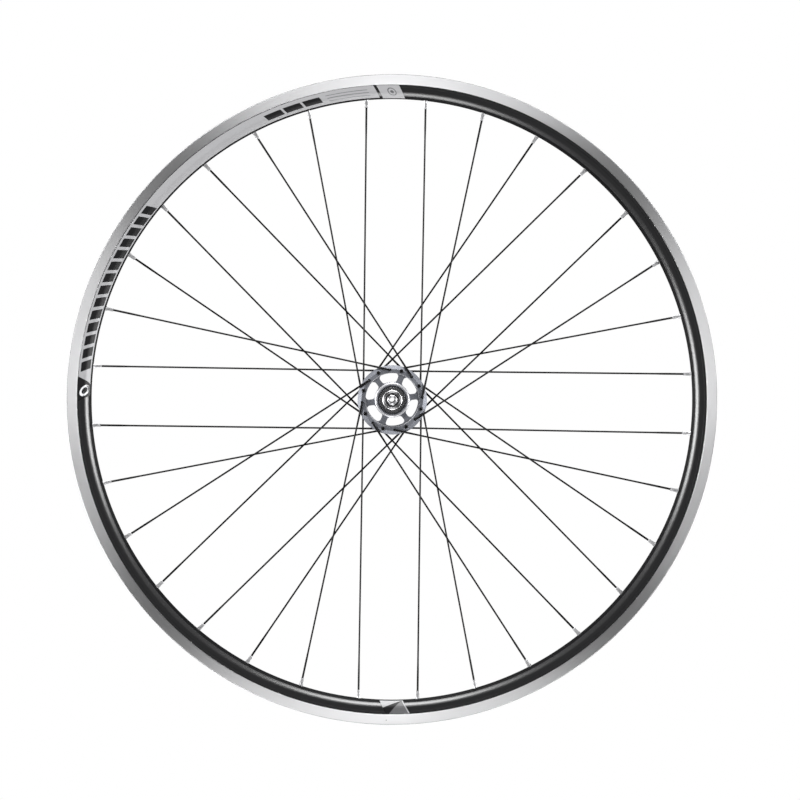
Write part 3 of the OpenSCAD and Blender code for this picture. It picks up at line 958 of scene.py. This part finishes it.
box_size = 1.35
box_reach = 2.2
box_front = -0.8
box_behind = 0.9
behind_share = 0.55


def soft_light(name, place, power):
    """A square soft light aimed at the hub, which the camera doesn't see."""
    data = bpy.data.lights.new(name, "AREA")
    data.size = box_size
    data.energy = power
    lamp = bpy.data.objects.new(name, data)
    lamp.location = place
    lamp.visible_camera = False
    lamp.rotation_euler = (-Vector(place)).to_track_quat("-Z", "Y").to_euler()
    bpy.context.scene.collection.objects.link(lamp)


def build_lights():
    """Four boxes round the wheel, in front of it, and a weaker one behind each."""
    for name, x, z, power in (("left_box", -1, 0, 165), ("right_box", 1, 0, 145),
                              ("top_box", 0, 1, 150), ("bottom_box", 0, -1, 85)):
        x, z = box_reach * x, box_reach * z
        soft_light(name, (x, box_front, z), power)
        soft_light(name + "_behind", (x, box_behind, z), behind_share * power)


def two_faced(tree, to_all, to_camera, output):
    """Shows the camera one shader and everything else another."""
    mix = tree.nodes.new("ShaderNodeMixShader")
    path = tree.nodes.new("ShaderNodeLightPath")
    tree.links.new(path.outputs["Is Camera Ray"], mix.inputs["Fac"])
    tree.links.new(to_all, mix.inputs[1])
    tree.links.new(to_camera, mix.inputs[2])
    tree.links.new(mix.outputs["Shader"], tree.nodes[output].inputs["Surface"])


def build_world():
    """White to the camera and a dim grey to everything else."""
    world = bpy.data.worlds.new("studio")
    bpy.context.scene.world = world
    world.use_nodes = True
    nodes = world.node_tree.nodes
    seen = nodes["Background"]
    seen.inputs["Color"].default_value = (1, 1, 1, 1)
    seen.inputs["Strength"].default_value = 1.0
    around = nodes.new("ShaderNodeBackground")
    around.inputs["Color"].default_value = (1, 1, 1, 1)
    around.inputs["Strength"].default_value = 0.035
    two_faced(world.node_tree, around.outputs["Background"], seen.outputs["Background"],
              "World Output")


def build_floor():
    """A pale floor that looks white to the camera and neither lights nor shades the wheel."""
    floor_r = 1300
    sides = 96
    around = round_angles(sides)
    points = np.stack([floor_r * np.cos(around), floor_r * np.sin(around),
                       np.full(sides, -rim_r - 0.4)], -1)
    pale = bpy.data.materials.new("floor_white")
    pale.use_nodes = True
    nodes = pale.node_tree.nodes
    shader = nodes["Principled BSDF"]
    shader.inputs["Base Color"].default_value = (0.35, 0.35, 0.35, 1)
    shader.inputs["Roughness"].default_value = 0.9
    glow = nodes.new("ShaderNodeEmission")
    two_faced(pale.node_tree, shader.outputs["BSDF"], glow.outputs["Emission"],
              "Material Output")
    floor = new_object("floor", (points, [tuple(range(sides))], [0]), [pale])
    floor.visible_diffuse = floor.visible_glossy = floor.visible_shadow = False


def build_camera():
    """A long lens nearly straight in front; the roll stands in for the wheel's own slight turn."""
    distance = 4.006
    azimuth, elevation = math.radians(-0.35), math.radians(0.5)
    place = distance * Vector((math.sin(azimuth) * math.cos(elevation),
                               -math.cos(azimuth) * math.cos(elevation), math.sin(elevation)))
    data = bpy.data.cameras.new("camera")
    data.lens = 184.5
    data.sensor_width = 36
    data.clip_end = 50
    data.shift_x = 0.00996
    data.shift_y = -0.00053
    camera = bpy.data.objects.new("camera", data)
    roll = Matrix.Rotation(math.radians(0.78), 4, "Z")
    look = (-place).to_track_quat("-Z", "Y").to_matrix().to_4x4()
    camera.matrix_world = Matrix.Translation(place) @ look @ roll
    bpy.context.scene.collection.objects.link(camera)
    bpy.context.scene.camera = camera


build_rim()
build_tape()
build_spokes()
build_nipples()
build_decals()
build_cap("right", False)
build_cap("left", True)
dress_hub()

build_world()
build_floor()
build_camera()
build_lights()
bpy.context.scene.view_settings.view_transform = "Standard"
